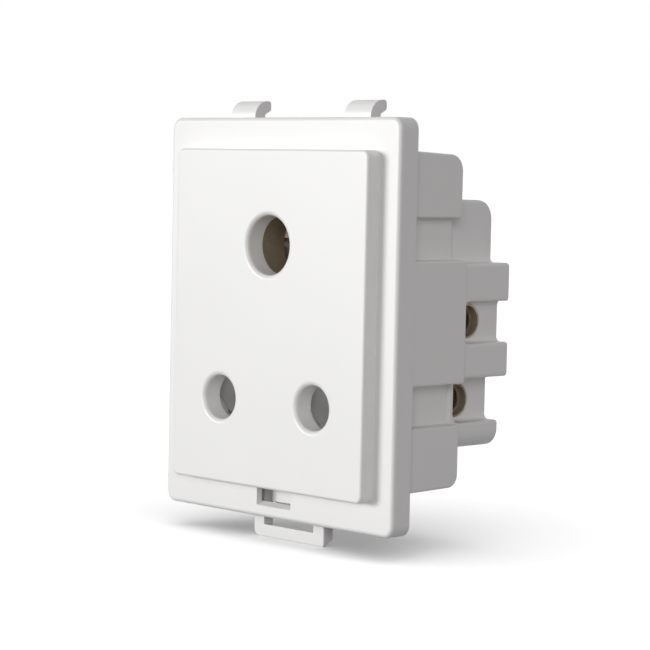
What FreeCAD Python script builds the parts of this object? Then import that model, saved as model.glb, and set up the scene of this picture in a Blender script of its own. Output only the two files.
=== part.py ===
import FreeCAD, Part
import math
import os

# Two-module wall socket insert for three round pins.
# X runs to the right seen from the front, Y to the rear and Z up, in millimetres.
# The origin is the centre of the flange's back plane, where the grid frame's face lies.

# Flange of the cover
flange_width = 46.8
flange_height = 57.0
flange_depth = 3.4
flange_corner = 1.7
flange_edge = 0.6
face_wall = 1.0
rim_wall = 1.5
hook_relief = 0.15
relief_side_gap = 0.3

# Raised pad of the cover
pad_width = 39.0
pad_height = 48.0
pad_rise = 2.2
pad_corner = 1.1
pad_edge = 0.4
pad_wall = 3.0
pad_side_wall = 1.4

# Pins and the holes for them
pin_spacing = 19.05
earth_above_row = 22.225
pin_row_z = -11.75
earth_pin_radius = 3.53
small_pin_radius = 2.54
earth_hole_radius = 4.2
small_hole_radius = 3.17
hole_rim = 0.65

# Release window in the flange, under the pad
window_width = 7.0
window_sill = 1.65
sill_slope_rise = 0.53

# Housing behind the flange, front level
housing_middle_z = 0.62
housing_height = 46.96
level_depth = 11.45
middle_block_z = 0.5
middle_block_width = 45.4
middle_block_height = 17.2
top_block_width = 43.0
bottom_block_width = 43.6
recess_floor_width = 39.0
recess_height = 5.8
top_draft = 0.45
bottom_draft = 0.2
top_block_round = 2.3
bottom_block_round = 1.8
small_round = 0.4
edge_break = 0.15
plinth_height = 1.8
plinth_gap = 0.3

# Housing, rear level
rear_depth = 21.3
upper_step_width = 36.2
upper_step_top = 17.45
upper_step_round = 2.8
ledge_z = 8.6
side_step_width = 43.4
side_step_bottom = -7.55
lower_step_width = 40.2
lower_step_bottom = -17.7
lower_step_round = 2.5
step_round = 0.6
rear_round = 0.4
level_overlap = 0.05

# Wiring pockets in the sides of the rear level
pocket_front = 12.1
pocket_corner = 1.2
pocket_floor_round = 0.7
pocket_mouth_round = 0.45
upper_pocket_top = 3.2
upper_pocket_bottom = -2.65
upper_pocket_depth = 2.1
lower_pocket_bottom = -13.95
lower_pocket_depth = 2.4

# Hooks over the flange
hook_inner_x = 9.1
hook_width = 5.15
hook_stem = 1.95
hook_rise = 2.55
hook_head = 3.15
hook_head_height = 1.35
hook_nose_drop = 0.6
hook_bend = 2.4
hook_round = 0.5
hook_root = 1.4

# Latch under the flange
latch_gap = 0.05
latch_recess = 0.4
latch_thickness = 1.75
latch_width = 14.5
latch_drop = 3.5
latch_bar = 1.85
latch_leg = 2.15
latch_left_corner = 1.1
latch_right_corner = 0.35
latch_front_round = 0.2
latch_ramp = 1.0
latch_travel = 2.4
tongue_width = 5.5
tongue_drop = 0.2
tongue_skirt = 0.8
tongue_pad_rise = 0.85
tongue_pad_height = 2.9
shoulder_extra = 1.1
shoulder_height = 2.0
ledge_wall = 0.9
latch_slide_gap = 0.15
latch_stop_gap = 0.5
spring_wall = 1.0

# Shutter
shutter_front_gap = 0.1
shutter_depth = 5.8
shutter_inner_x = 3.0
shutter_outer_x = 15.8
shutter_block_height = 6.95
shutter_lip = 0.7
shutter_ramp_start = 3.3
shutter_cover = 3.4
shutter_bar_depth = 3.4
shutter_bar_height = 4.0
shutter_travel = 6.2
shutter_slide_gap = 0.4
shutter_peg_radius = 0.8
shutter_peg_length = 1.8

# Springs
shutter_spring_radius = 1.35
shutter_spring_wire = 0.4
shutter_spring_turns = 6
shutter_spring_chamber = 2.8
latch_spring_radius = 1.25
latch_spring_wire = 0.4
latch_spring_turns = 5
spring_side_gap = 0.5
spring_end_gap = 0.05

# Contact sleeves
sleeve_wall = 0.7
pin_play = 0.06
sleeve_front_gap = 0.3
sleeve_base = 1.0
slot_width = 0.9
slot_end = 2.0
mouth_chamfer = 0.45
earth_mouth_gap = 0.05
earth_mouth_radius = 4.6
earth_mouth_length = 4.6
earth_neck_length = 0.8
earth_slit_width = 0.6
earth_slit_height = 3.2
earth_sleeve_end = 17.7

# Grip rings round the sleeves
ring_play = 0.05
ring_thickness = 0.6
ring_width = 1.6
ring_split = 1.2
ring_back = 1.2

# Terminals
terminal_y = 15.05
line_terminal_z = -10.95
earth_terminal_z = 0.4
block_front = 11.6
block_height = 6.4
block_depth = 6.9
block_length = 7.7
chamber_wall = 0.8
chamber_gap = 0.3
boss_radius = 2.4
boss_recess = 0.1
boss_mouth_radius = 2.2
boss_mouth_depth = 1.3
screw_radius = 1.95
thread_play = 0.05
screw_slot_width = 0.6
screw_slot_depth = 0.8
screw_tip_gap = 0.1
earth_slot_turn = 35
line_slot_turn = -20
thread_past_wire = 0.9
wire_radius = 1.7
wire_from_end = 2.5
wire_entry_radius = 2.0
boss_hole_radius = 2.45

# Earth strip
strip_thickness = 0.8
strip_eye_radius = 3.6
strip_arm_width = 5.0
strip_corner = 1.0

# Screws that hold the cover
cover_screw_side = 4.9
cover_screw_below_top = 4.65
cover_screw_above_bottom = 3.1
cover_screw_shank = 1.0
cover_screw_play = 0.05
cover_screw_head = 1.75
cover_screw_head_height = 1.2
cover_screw_sink = 0.4
cover_screw_slot = 0.5
cover_screw_slot_depth = 0.6
cover_boss_radius = 1.9
cover_boss_end = 3.6
cover_screw_end_gap = 0.6
screw_hole_play = 0.2

# Places worked out from the sizes
margin = 1.0
face_y = -flange_depth
pad_face_y = face_y - pad_rise
pad_back_y = pad_face_y + pad_wall
face_back_y = face_y + face_wall
rim_inner_width = flange_width - 2 * rim_wall
rim_inner_height = flange_height - 2 * rim_wall
pad_inner_width = pad_width - 2 * pad_side_wall
pad_inner_height = pad_height - 2 * pad_side_wall
flange_bottom = -flange_height / 2
flange_top = flange_height / 2
pad_bottom = -pad_height / 2
line_x = pin_spacing / 2
earth_z = pin_row_z + earth_above_row

housing_top = housing_middle_z + housing_height / 2
housing_bottom = housing_middle_z - housing_height / 2
middle_top = middle_block_z + middle_block_height / 2
middle_bottom = middle_block_z - middle_block_height / 2
plinth_y = -plinth_height

upper_floor_x = side_step_width / 2 - upper_pocket_depth
lower_floor_x = lower_step_width / 2 - lower_pocket_depth

relief_y = -latch_recess
latch_front = relief_y + latch_gap
latch_back = latch_front + latch_thickness
latch_bottom = flange_bottom - latch_drop
latch_window_bottom = latch_bottom + latch_bar
shoulder_bottom = housing_bottom + ledge_wall
shoulder_top = shoulder_bottom + shoulder_height
shoulder_width = latch_width + 2 * shoulder_extra
sill_top = flange_bottom + window_sill + sill_slope_rise
tongue_bottom = sill_top - tongue_drop
latch_pocket_top = shoulder_top + latch_travel + latch_stop_gap
latch_spring_y = latch_back - latch_spring_radius + latch_spring_wire / 2

shutter_front = pad_back_y + shutter_front_gap
shutter_back = shutter_front + shutter_depth
shutter_bottom = pin_row_z - shutter_cover
shutter_top = shutter_bottom + shutter_block_height
shutter_bar_bottom = shutter_top - shutter_bar_height
shutter_pocket_back = shutter_back + shutter_front_gap
shutter_pocket_top = shutter_top + shutter_travel + shutter_slide_gap
shutter_pocket_half = shutter_outer_x + shutter_slide_gap
latch_spring_top = shutter_bar_bottom - shutter_slide_gap - spring_wall
shutter_spring_y = shutter_front + shutter_bar_depth / 2
shutter_spring_top = shutter_pocket_top + shutter_spring_chamber

small_bore = small_pin_radius + pin_play
small_sleeve = small_bore + sleeve_wall
small_sleeve_front = shutter_back + sleeve_front_gap
earth_bore = earth_pin_radius + pin_play
earth_sleeve_radius = earth_mouth_radius + sleeve_wall
earth_neck_radius = earth_bore + sleeve_wall
earth_sleeve_front = pad_back_y + earth_mouth_gap
earth_ring_y = earth_sleeve_end - sleeve_base - ring_back - ring_width
small_ring_y = block_front - sleeve_base - ring_back - ring_width
small_chamber_radius = small_sleeve + ring_play + ring_thickness + chamber_gap
earth_chamber_radius = earth_sleeve_radius + chamber_gap
chamber_back = block_front + block_depth + chamber_gap
strip_front = earth_sleeve_end
strip_back = strip_front + strip_thickness

line_block_outer = lower_floor_x - chamber_wall - chamber_gap
earth_block_outer = upper_floor_x - chamber_wall - chamber_gap
line_wire_x = line_block_outer - block_length + wire_from_end
earth_wire_x = earth_block_outer - block_length + wire_from_end

cover_screw_seat = level_depth - cover_screw_sink - cover_screw_head_height
cover_screw_tip = face_back_y + cover_screw_end_gap


def vector(x, y, z):
    return FreeCAD.Vector(x, y, z)


def box(x, y, z):
    """Block between the low and high value given for each axis."""
    return Part.makeBox(x[1] - x[0], y[1] - y[0], z[1] - z[0], vector(x[0], y[0], z[0]))


def both(half):
    return (-half, half)


def rod(radius, start, end):
    """Cylinder from one point to another."""
    run = vector(*end) - vector(*start)
    return Part.makeCylinder(radius, run.Length, vector(*start), run)


def place(plane, at, u, v):
    """Point of a flat outline: xz outlines lie at a Y, yz at an X and xy at a Z."""
    if plane == "xz":
        return vector(u, at, v)
    if plane == "yz":
        return vector(at, u, v)
    return vector(u, v, at)


def outline(points, plane, at):
    """Face with straight sides whose corners (u, v, radius) are rounded where the radius isn't 0."""
    corners = []
    for index, (u, v, radius) in enumerate(points):
        here = vector(u, v, 0)
        back = vector(points[index - 1][0], points[index - 1][1], 0) - here
        ahead = points[(index + 1) % len(points)]
        ahead = vector(ahead[0], ahead[1], 0) - here
        back.normalize()
        ahead.normalize()
        if radius == 0:
            corners.append((here, None, here))
            continue
        half = back.getAngle(ahead) / 2
        run = radius / math.tan(half)
        inward = back + ahead
        inward.normalize()
        middle = here + inward * (radius / math.sin(half) - radius)
        corners.append((here + back * run, middle, here + ahead * run))
    edges = []
    for index, (start, middle, end) in enumerate(corners):
        if middle is not None:
            arc = [place(plane, at, p.x, p.y) for p in (start, middle, end)]
            edges.append(Part.Arc(*arc).toShape())
        following = corners[(index + 1) % len(corners)][0]
        if end.distanceToPoint(following) > 1e-6:
            line = [place(plane, at, p.x, p.y) for p in (end, following)]
            edges.append(Part.makeLine(*line))
    return Part.Face(Part.Wire(edges))


def slab(points, plane, low, high):
    """Solid with a rounded outline, from one level to another along the axis across its plane."""
    step = place(plane, high, 0, 0) - place(plane, low, 0, 0)
    return outline(points, plane, low).extrude(step)


def rectangle(u, v, radius):
    """Corners of a rounded rectangle between low and high values."""
    return [(u[0], v[0], radius), (u[1], v[0], radius), (u[1], v[1], radius), (u[0], v[1], radius)]


def mirrored(shape):
    return shape.mirror(vector(0, 0, 0), vector(1, 0, 0))


def fused(first, *others):
    return first.fuse(list(others)).removeSplitter()


def edges_in(shape, x=None, y=None, z=None):
    """Edges that lie wholly between the low and high values given."""
    found = []
    for edge in shape.Edges:
        b = edge.BoundBox
        inside = True
        for limits, low, high in ((x, b.XMin, b.XMax), (y, b.YMin, b.YMax), (z, b.ZMin, b.ZMax)):
            if limits is not None and (low < limits[0] - 1e-3 or high > limits[1] + 1e-3):
                inside = False
        if inside:
            found.append(edge)
    return found


def at(value):
    return (value, value)


def pin_places():
    """Place and radius of each pin hole: earth, line and neutral."""
    return [(0, earth_z, earth_hole_radius), (line_x, pin_row_z, small_hole_radius),
            (-line_x, pin_row_z, small_hole_radius)]


def cover_screw_places():
    upper = (cover_screw_side - top_block_width / 2, housing_top - cover_screw_below_top)
    lower = (bottom_block_width / 2 - cover_screw_side, housing_bottom + cover_screw_above_bottom)
    return {"upper": upper, "lower": lower}


def front_cover():
    flange_size = rectangle(both(flange_width / 2), both(flange_height / 2), flange_corner)
    flange = slab(flange_size, "xz", face_y, 0)
    flange = flange.makeFillet(flange_edge, edges_in(flange, y=at(face_y)))
    pad_size = rectangle(both(pad_width / 2), both(pad_height / 2), pad_corner)
    pad = slab(pad_size, "xz", pad_face_y, face_y + face_wall / 2)
    pad = pad.makeFillet(pad_edge, edges_in(pad, y=at(pad_face_y)))
    cover = fused(flange, pad)
    inner_corner = max(flange_corner - rim_wall, small_round)
    rim_hollow = rectangle(both(rim_inner_width / 2), both(rim_inner_height / 2), inner_corner)
    pad_hollow = rectangle(both(pad_inner_width / 2), both(pad_inner_height / 2), small_round)
    cover = cover.cut([slab(rim_hollow, "xz", face_back_y, margin), slab(pad_hollow, "xz", pad_back_y, 0)])
    for x, z in cover_screw_places().values():
        boss = rod(cover_boss_radius, (x, pad_back_y - face_wall / 2, z), (x, cover_boss_end, z))
        pilot_end = (x, cover_boss_end + margin, z)
        pilot = rod(cover_screw_shank + cover_screw_play, (x, face_back_y, z), pilot_end)
        cover = fused(cover, boss).cut(pilot)
    for x, z, radius in pin_places():
        cover = cover.cut(rod(radius, (x, pad_face_y - margin, z), (x, margin, z)))
        rim = edges_in(cover, x=(x - radius, x + radius), y=at(pad_face_y), z=(z - radius, z + radius))
        cover = cover.makeFillet(hole_rim, rim)
    return cover.cut([release_window()] + rim_reliefs()).removeSplitter()


def rim_reliefs():
    """Shallow reliefs in the rim's back, behind which the latch slides and the hooks stand."""
    half = latch_width / 2 + latch_slide_gap
    low = (flange_bottom - margin, flange_bottom + rim_wall + margin / 2)
    high = (flange_top - rim_wall - margin / 2, flange_top + margin)
    hook_x = (hook_inner_x - relief_side_gap, hook_inner_x + hook_width + relief_side_gap)
    hook = box(hook_x, (-hook_relief, margin), high)
    return [box(both(half), (relief_y, margin), low), hook, mirrored(hook)]


def release_window():
    """Opening between the pad's lower edge and a sill that slopes up to the rear."""
    sill_front = flange_bottom + window_sill
    slope = sill_slope_rise / face_wall
    sides = [(face_y - margin, sill_front - slope * margin, 0), (face_back_y, sill_top, 0),
             (0, sill_top, 0), (0, pad_bottom, 0), (face_y - margin, pad_bottom, 0)]
    return slab(sides, "yz", -window_width / 2, window_width / 2)


def level_block(width, z, rears, drafts, edge):
    """Block of the housing's front level; its bottom and top are rounded and drafted to the rear."""
    half = width / 2
    side = [(0, z[0], 0), (level_depth, z[0] + drafts[0], rears[0]),
            (level_depth, z[1] - drafts[1], rears[1]), (0, z[1], 0)]
    block = slab(side, "yz", -half, half)
    edges = []
    for x in both(half):
        edges += [e for e in edges_in(block, x=at(x)) if e.BoundBox.YMax > 1e-3]
    return block.makeFillet(edge, edges)


def front_level():
    """Three proud blocks one above the other, with side recesses between them."""
    inner = bottom_block_round + margin
    core = level_block(recess_floor_width, (housing_bottom + inner, housing_top - inner), (0, 0), (0, 0),
                       edge_break)
    middle = level_block(middle_block_width, (middle_bottom, middle_top), (step_round, step_round), (0, 0),
                         small_round)
    top = level_block(top_block_width, (middle_top + recess_height, housing_top),
                      (small_round, top_block_round), (0, top_draft), small_round)
    bottom = level_block(bottom_block_width, (housing_bottom, middle_bottom - recess_height),
                         (bottom_block_round, small_round), (bottom_draft, 0), small_round)
    plinth_half = rim_inner_width / 2 - plinth_gap
    plinth_z = (housing_bottom + plinth_gap, housing_top - plinth_gap)
    plinth_x = both(min(plinth_half, top_block_width / 2))
    return fused(core, middle, top, bottom,
                 slab(rectangle(plinth_x, plinth_z, small_round), "xz", plinth_y, margin))


def pocket(floor_x, z, top_corner):
    """Cutter of a wiring pocket in the right side, open to the side and to the rear."""
    outside = side_step_width / 2 + margin
    end = rear_depth + margin
    sides = [(pocket_front, z[0], pocket_corner), (end, z[0], 0),
             (end, z[1], 0), (pocket_front, z[1], top_corner)]
    cutter = slab(sides, "yz", floor_x, outside)
    return cutter.makeFillet(pocket_floor_round, edges_in(cutter, x=at(floor_x)))


def rear_level():
    """Stepped rear body: narrow at the top, widest over the upper pocket, rounded below."""
    right = [(upper_step_width / 2, upper_step_top, step_round), (upper_step_width / 2, ledge_z, step_round),
             (side_step_width / 2, ledge_z, step_round), (side_step_width / 2, side_step_bottom, step_round),
             (lower_step_width / 2, side_step_bottom, 0),
             (lower_step_width / 2, lower_step_bottom, lower_step_round)]
    left = [(-x, z, radius) for x, z, radius in reversed(right)]
    start = level_depth - level_overlap
    body = slab(right + left, "xz", start, rear_depth)
    half = side_step_width / 2
    side = [(start, lower_step_bottom, 0), (rear_depth, lower_step_bottom, rear_round),
            (rear_depth, upper_step_top, upper_step_round), (start, upper_step_top, 0)]
    body = body.common(slab(side, "yz", -half, half))
    upper = pocket(upper_floor_x, (upper_pocket_bottom, upper_pocket_top), pocket_corner)
    lower = pocket(lower_floor_x, (lower_pocket_bottom, side_step_bottom), 0)
    body = body.cut([upper, lower, mirrored(upper), mirrored(lower)]).removeSplitter()
    return body.makeFillet(pocket_mouth_round, pocket_mouths(body))


def pocket_mouths(body):
    """Edges round the mouths of the four pockets."""
    found = []
    depth = (pocket_front, rear_depth)
    for side in (-1, 1):
        upper_x = side * side_step_width / 2
        lower_x = side * lower_step_width / 2
        found += edges_in(body, at(upper_x), depth, (upper_pocket_bottom, upper_pocket_top))
        found += edges_in(body, at(lower_x), depth, (lower_pocket_bottom, side_step_bottom))
    return found


def hooks():
    """Two hooks: a stem behind the flange, bent back at the top to a nose that turns down."""
    top = flange_top + hook_rise
    head_y = latch_gap + hook_head
    stem_y = latch_gap + hook_stem
    under = top - hook_head_height
    root = housing_top - hook_root
    sides = [(latch_gap, root, 0), (stem_y, root, 0), (stem_y, under - hook_nose_drop, hook_round),
             (head_y, under, hook_round), (head_y, top, hook_round), (latch_gap, top, hook_bend)]
    right = slab(sides, "yz", hook_inner_x, hook_inner_x + hook_width)
    return [right, mirrored(right)]


def line_chamber():
    """Space for the line contact and its terminal, open to the shutter's pocket."""
    left = line_x - small_chamber_radius
    right = line_block_outer + chamber_gap
    low = min(pin_row_z - small_chamber_radius, line_terminal_z - block_height / 2 - chamber_gap)
    high = line_terminal_z + block_height / 2 + chamber_gap
    chamber = box((left, right), (shutter_pocket_back - margin, chamber_back), (low, high))
    access = rod(boss_hole_radius, (line_block_outer, terminal_y, line_terminal_z),
                 (side_step_width, terminal_y, line_terminal_z))
    wire = rod(wire_entry_radius, (line_wire_x, terminal_y, line_terminal_z),
               (line_wire_x, rear_depth + margin, line_terminal_z))
    return [chamber, access, wire]


def earth_chamber():
    """Round space for the earth sleeve, the terminal's space and the strip's slot between them."""
    sleeve = rod(earth_chamber_radius, (0, plinth_y - margin, earth_z), (0, chamber_back, earth_z))
    left = earth_block_outer - block_length - chamber_gap
    right = earth_block_outer + chamber_gap
    z = (earth_terminal_z - block_height / 2 - chamber_gap, earth_terminal_z + block_height / 2 + chamber_gap)
    terminal = box((left, right), (plinth_y - margin, chamber_back), z)
    arm = slab(strip_arm(chamber_gap), "xz", plinth_y - margin, chamber_back)
    access = rod(boss_hole_radius, (earth_block_outer, terminal_y, earth_terminal_z),
                 (side_step_width, terminal_y, earth_terminal_z))
    wire = rod(wire_entry_radius, (earth_wire_x, terminal_y, earth_terminal_z),
               (earth_wire_x, rear_depth + margin, earth_terminal_z))
    return [sleeve, terminal, arm, access, wire]


def shutter_pocket():
    """Front pocket for the shutter, with a channel above it for its spring."""
    lobe = (shutter_bottom, shutter_pocket_top)
    bar = (shutter_bar_bottom - shutter_slide_gap, shutter_pocket_top)
    depth = (plinth_y - margin, shutter_pocket_back)
    inner = shutter_inner_x - shutter_slide_gap
    right = box((inner, shutter_pocket_half), depth, lobe)
    channel_half = shutter_spring_radius + shutter_spring_wire / 2 + spring_side_gap
    channel_back = shutter_spring_y + channel_half
    channel = box(both(channel_half), (plinth_y - margin, channel_back), (bar[0], shutter_spring_top))
    return [right, mirrored(right), box(both(shutter_pocket_half), depth, bar), channel]


def latch_pocket():
    """Slot for the latch with a ledge under its shoulders, and a channel for its spring."""
    gap = latch_slide_gap
    depth = (plinth_y - margin, latch_back + gap)
    mouth = box(both(latch_width / 2 + gap), depth, (housing_bottom - margin, shoulder_top))
    room = box(both(shoulder_width / 2 + gap), depth, (shoulder_bottom, latch_pocket_top))
    channel_half = latch_spring_radius + latch_spring_wire / 2 + spring_side_gap
    channel_depth = (plinth_y - margin, latch_spring_y + channel_half)
    channel = box(both(channel_half), channel_depth, (shoulder_bottom, latch_spring_top))
    return [mouth, room, channel]


def cover_screw_holes():
    """Bores for the cover's bosses, the screws' shanks and the sunk heads."""
    cutters = []
    for x, z in cover_screw_places().values():
        boss_end = cover_boss_end + chamber_gap
        cutters.append(rod(cover_boss_radius + chamber_gap, (x, plinth_y - margin, z), (x, boss_end, z)))
        cutters.append(rod(cover_screw_shank + screw_hole_play, (x, 0, z), (x, level_depth, z)))
        head = cover_screw_head + screw_hole_play
        cutters.append(rod(head, (x, cover_screw_seat, z), (x, level_depth + margin, z)))
    return cutters


def rear_housing():
    housing = fused(front_level(), rear_level(), *hooks())
    line = line_chamber()
    cutters = line + [mirrored(piece) for piece in line] + earth_chamber()
    cutters += shutter_pocket() + latch_pocket() + cover_screw_holes()
    return housing.cut(cutters).removeSplitter()


def release_latch():
    """Loop with a bar at the bottom, a tongue behind the window and shoulders in the housing."""
    half = latch_width / 2
    inner = half - latch_leg
    shoulder = shoulder_width / 2
    tongue = tongue_width / 2
    depth = (latch_front, latch_back)
    outer = [(half, latch_bottom, latch_right_corner), (half, shoulder_bottom, 0),
             (shoulder, shoulder_bottom, 0), (shoulder, shoulder_top, small_round),
             (-shoulder, shoulder_top, small_round), (-shoulder, shoulder_bottom, 0),
             (-half, shoulder_bottom, 0), (-half, latch_bottom, latch_left_corner)]
    loop = slab(outer, "xz", *depth)
    front_edges = edges_in(loop, y=at(latch_front), z=(latch_bottom, flange_bottom))
    loop = loop.makeFillet(latch_front_round, front_edges)
    through = (latch_front - margin, latch_back + margin)
    window = box(both(inner), through, (latch_window_bottom, shoulder_bottom))
    middle_z = (tongue_bottom - tongue_skirt, shoulder_bottom + shoulder_height / 2)
    middle = box(both(tongue), depth, middle_z)
    pad_front = latch_front - tongue_pad_rise
    pad = box(both(tongue), (pad_front, latch_back), (tongue_bottom, tongue_bottom + tongue_pad_height))
    pad = pad.makeFillet(small_round / 2, edges_in(pad, y=at(pad_front)))
    ramp = [(latch_front, latch_bottom, 0), (latch_back + margin, latch_bottom, 0),
            (latch_back + margin, latch_bottom + latch_ramp * (1 + margin / latch_thickness), 0)]
    loop = loop.cut([window, slab(ramp, "yz", -half - margin, half + margin)])
    return fused(loop, middle, pad)


def shutter():
    """Two wide ramped blocks that close the small holes, joined by a bar with a peg for the spring."""
    ramp_top = pin_row_z + shutter_ramp_start
    side = [(shutter_front, ramp_top, 0), (shutter_front, shutter_top, 0), (shutter_back, shutter_top, 0),
            (shutter_back, shutter_bottom, 0), (shutter_back - shutter_lip, shutter_bottom, 0)]
    block = slab(side, "yz", shutter_inner_x, shutter_outer_x)
    bar_depth = (shutter_front, shutter_front + shutter_bar_depth)
    bar = box(both(shutter_inner_x), bar_depth, (shutter_bar_bottom, shutter_top))
    peg = rod(shutter_peg_radius, (0, shutter_spring_y, shutter_top - margin),
              (0, shutter_spring_y, shutter_top + shutter_peg_length))
    return fused(block, mirrored(block), bar, peg)


def coil_spring(radius, wire, turns, y, z):
    """Compression spring on a vertical axis, of round wire: every half turn is a tilted half ring."""
    low = z[0] + spring_end_gap + wire / 2
    high = z[1] - spring_end_gap - wire / 2
    rise = (high - low) / (2 * turns)
    halves = []
    for index in range(2 * turns):
        side = 1 - 2 * (index % 2)
        middle = vector(0, y, low + (index + 0.5) * rise)
        start = middle + vector(side * radius, 0, -rise / 2)
        section = Part.Face(Part.Wire(Part.makeCircle(wire / 2, start, vector(0, 1, 0))))
        halves.append(section.revolve(middle, vector(side * rise / 2, 0, radius), 180))
    return fused(*halves)


def shutter_spring():
    return coil_spring(shutter_spring_radius, shutter_spring_wire, shutter_spring_turns, shutter_spring_y,
                       (shutter_top, shutter_spring_top))


def latch_spring():
    return coil_spring(latch_spring_radius, latch_spring_wire, latch_spring_turns, latch_spring_y,
                       (shoulder_top, latch_spring_top))


def line_sleeve():
    """Slotted tube on a closed base that stands on the terminal block."""
    x = line_x
    z = pin_row_z
    tube = rod(small_sleeve, (x, small_sleeve_front, z), (x, block_front, z))
    bore = rod(small_bore, (x, small_sleeve_front - margin, z), (x, block_front - sleeve_base, z))
    flare = Part.makeCone(small_bore + mouth_chamfer, small_bore, mouth_chamfer,
                          vector(x, small_sleeve_front, z), vector(0, 1, 0))
    slot_back = block_front - sleeve_base - slot_end
    reach = small_sleeve + margin
    slot = box((x - reach, x + reach), (small_sleeve_front - margin, slot_back),
               (z - slot_width / 2, z + slot_width / 2))
    return tube.cut([bore, flare, slot])


def earth_sleeve():
    """Sleeve with a wide unslit mouth close behind the cover and a slotted neck that grips the pin."""
    z = earth_z
    front = earth_sleeve_front
    neck = front + earth_mouth_length
    full = neck + earth_neck_length
    outer = rod(earth_sleeve_radius, (0, front, z), (0, full, z))
    outer = fused(outer, rod(earth_neck_radius, (0, full, z), (0, earth_sleeve_end, z)))
    mouth = rod(earth_mouth_radius, (0, front - margin, z), (0, neck, z))
    cone = Part.makeCone(earth_mouth_radius, earth_bore, earth_neck_length, vector(0, neck, z),
                         vector(0, 1, 0))
    bore = rod(earth_bore, (0, neck, z), (0, earth_sleeve_end - sleeve_base, z))
    reach = earth_sleeve_radius + margin
    slot_back = earth_sleeve_end - sleeve_base - slot_end
    slit_top = z + slot_width
    slit = box(both(reach), (neck, neck + earth_slit_width), (slit_top - earth_slit_height, slit_top))
    slot = box(both(reach), (neck, slot_back), (z - slot_width / 2, z + slot_width / 2))
    upright = box(both(slot_width / 2), (full, slot_back), (z - reach, z + reach))
    return outer.cut([mouth, cone, bore, slit, slot, upright])


def grip_ring(x, z, sleeve_radius, y):
    """Split spring ring round a sleeve."""
    inner = sleeve_radius + ring_play
    outer = inner + ring_thickness
    ring = rod(outer, (x, y, z), (x, y + ring_width, z)).cut(rod(inner, (x, y, z), (x, y + ring_width, z)))
    split = box((x - ring_split / 2, x + ring_split / 2), (y, y + ring_width), (z, z + outer + margin))
    return ring.cut(split)


def terminal_block(outer_x, wire_x, z, depth):
    """Brass block with a sunk threaded boss to the side and a bore for the wire from the rear."""
    y = (block_front, block_front + depth)
    body = box((outer_x - block_length, outer_x), y, (z - block_height / 2, z + block_height / 2))
    body = body.makeFillet(small_round, edges_in(body, x=at(outer_x - block_length)))
    boss_end = outer_x + chamber_gap + chamber_wall - boss_recess
    boss = rod(boss_radius, (outer_x - margin, terminal_y, z), (boss_end, terminal_y, z))
    seat = boss_end - boss_mouth_depth
    mouth = rod(boss_mouth_radius, (seat, terminal_y, z), (boss_end + margin, terminal_y, z))
    thread_end = wire_x - thread_past_wire
    thread = rod(screw_radius + thread_play, (thread_end, terminal_y, z), (boss_end, terminal_y, z))
    wire = rod(wire_radius, (wire_x, y[0] - margin, z), (wire_x, y[1] + margin, z))
    return fused(body, boss).cut([mouth, thread, wire])


def line_terminal_block():
    return terminal_block(line_block_outer, line_wire_x, line_terminal_z, block_depth)


def earth_terminal_block():
    return terminal_block(earth_block_outer, earth_wire_x, earth_terminal_z, strip_front - block_front)


def terminal_screw(outer_x, wire_x, z, slot_turn):
    """Slotted set screw, backed out until its tip clears the wire bore."""
    face = outer_x + chamber_gap + chamber_wall - boss_recess - boss_mouth_depth
    tip = wire_x + wire_radius + screw_tip_gap
    screw = rod(screw_radius, (tip, terminal_y, z), (face, terminal_y, z))
    reach = screw_radius + margin
    slot = box((face - screw_slot_depth, face + margin), (terminal_y - reach, terminal_y + reach),
               (z - screw_slot_width / 2, z + screw_slot_width / 2))
    slot.rotate(vector(face, terminal_y, z), vector(1, 0, 0), slot_turn)
    return screw.cut(slot)


def strip_arm(gap):
    """Outline of the strip's sloping arm, from the sleeve to the terminal, grown by a gap."""
    half = strip_arm_width / 2 + gap
    end = vector(earth_wire_x, earth_terminal_z, 0)
    start = vector(0, earth_z, 0)
    run = end - start
    run.normalize()
    side = vector(-run.y, run.x, 0) * half
    corners = [start + side, end + side, end - side, start - side]
    return [(p.x, p.y, 0) for p in corners]


def earth_strip():
    """Flat strip behind the earth sleeve and its terminal block."""
    depth = (strip_front, strip_back)
    eye = rod(strip_eye_radius, (0, strip_front, earth_z), (0, strip_back, earth_z))
    arm = slab(strip_arm(0), "xz", *depth)
    half = block_height / 2
    foot_x = (earth_block_outer - block_length, earth_block_outer)
    foot_z = (earth_terminal_z - half, earth_terminal_z + half)
    foot = slab(rectangle(foot_x, foot_z, strip_corner), "xz", *depth)
    wire = rod(wire_radius, (earth_wire_x, strip_front - margin, earth_terminal_z),
               (earth_wire_x, strip_back + margin, earth_terminal_z))
    return fused(eye, arm, foot).cut(wire)


def cover_screw(x, z):
    """Self-tapping screw, driven from the rear into the cover's boss."""
    shank = rod(cover_screw_shank, (x, cover_screw_tip, z), (x, cover_screw_seat + margin / 2, z))
    top = cover_screw_seat + cover_screw_head_height
    head = rod(cover_screw_head, (x, cover_screw_seat, z), (x, top, z))
    head = head.makeFillet(small_round, edges_in(head, y=at(top)))
    reach = cover_screw_head + margin
    slot = box((x - reach, x + reach), (top - cover_screw_slot_depth, top + margin),
               (z - cover_screw_slot / 2, z + cover_screw_slot / 2))
    return fused(shank, head).cut(slot)


def line_terminal_screw():
    return terminal_screw(line_block_outer, line_wire_x, line_terminal_z, line_slot_turn)


def earth_terminal_screw():
    return terminal_screw(earth_block_outer, earth_wire_x, earth_terminal_z, earth_slot_turn)


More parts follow.
